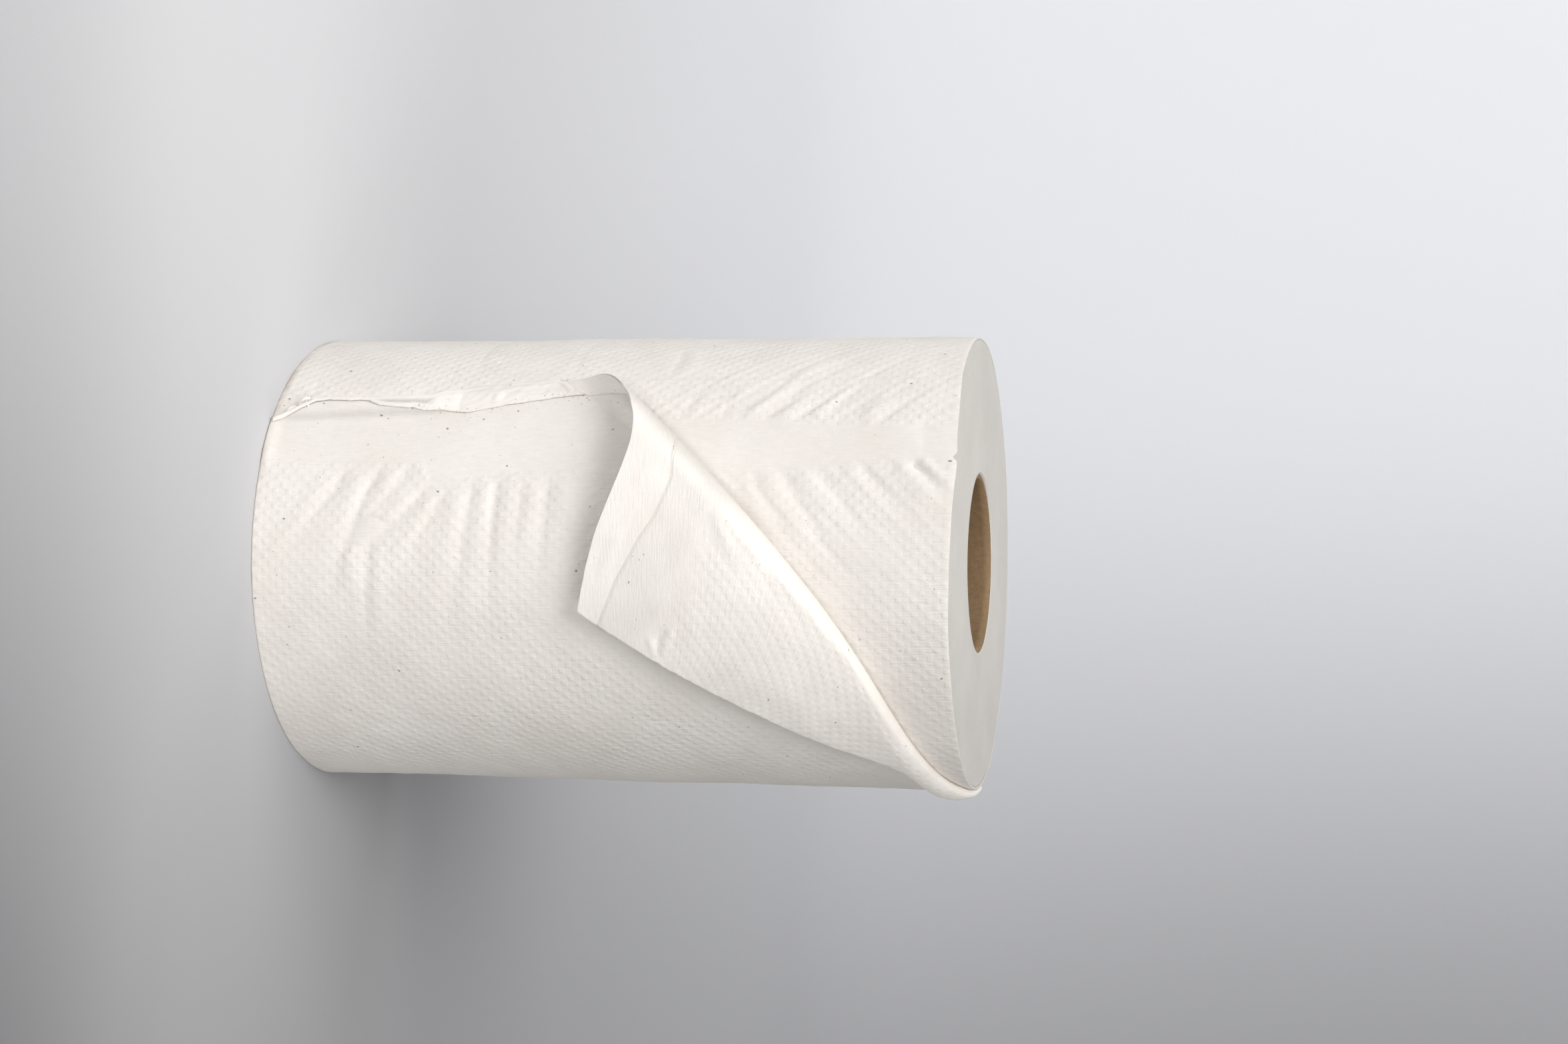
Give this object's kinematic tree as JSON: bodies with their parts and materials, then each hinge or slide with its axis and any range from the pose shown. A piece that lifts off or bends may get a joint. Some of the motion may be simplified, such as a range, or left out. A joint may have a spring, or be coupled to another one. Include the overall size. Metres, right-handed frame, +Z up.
{
  "type": "paper towel roll",
  "caption": "Hard-wound roll of embossed white paper towel on a cardboard core, standing on its end, with the torn corner of its outer sheet folded down.",
  "frame": {"origin": "on the roll's axis, at the core's bottom end, in the plane that the roll stands on", "axes": "+Z up along the roll's axis; the folded corner faces -Y"},
  "size_m": [0.1378, 0.1446, 0.203],
  "materials": {
    "paper": "matt, embossed and creped",
    "core_board": "matt kraft board"
  },
  "bodies": {
    "root": {"paper_roll": "paper", "core_tube": "core_board"}
  },
  "joints": []
}
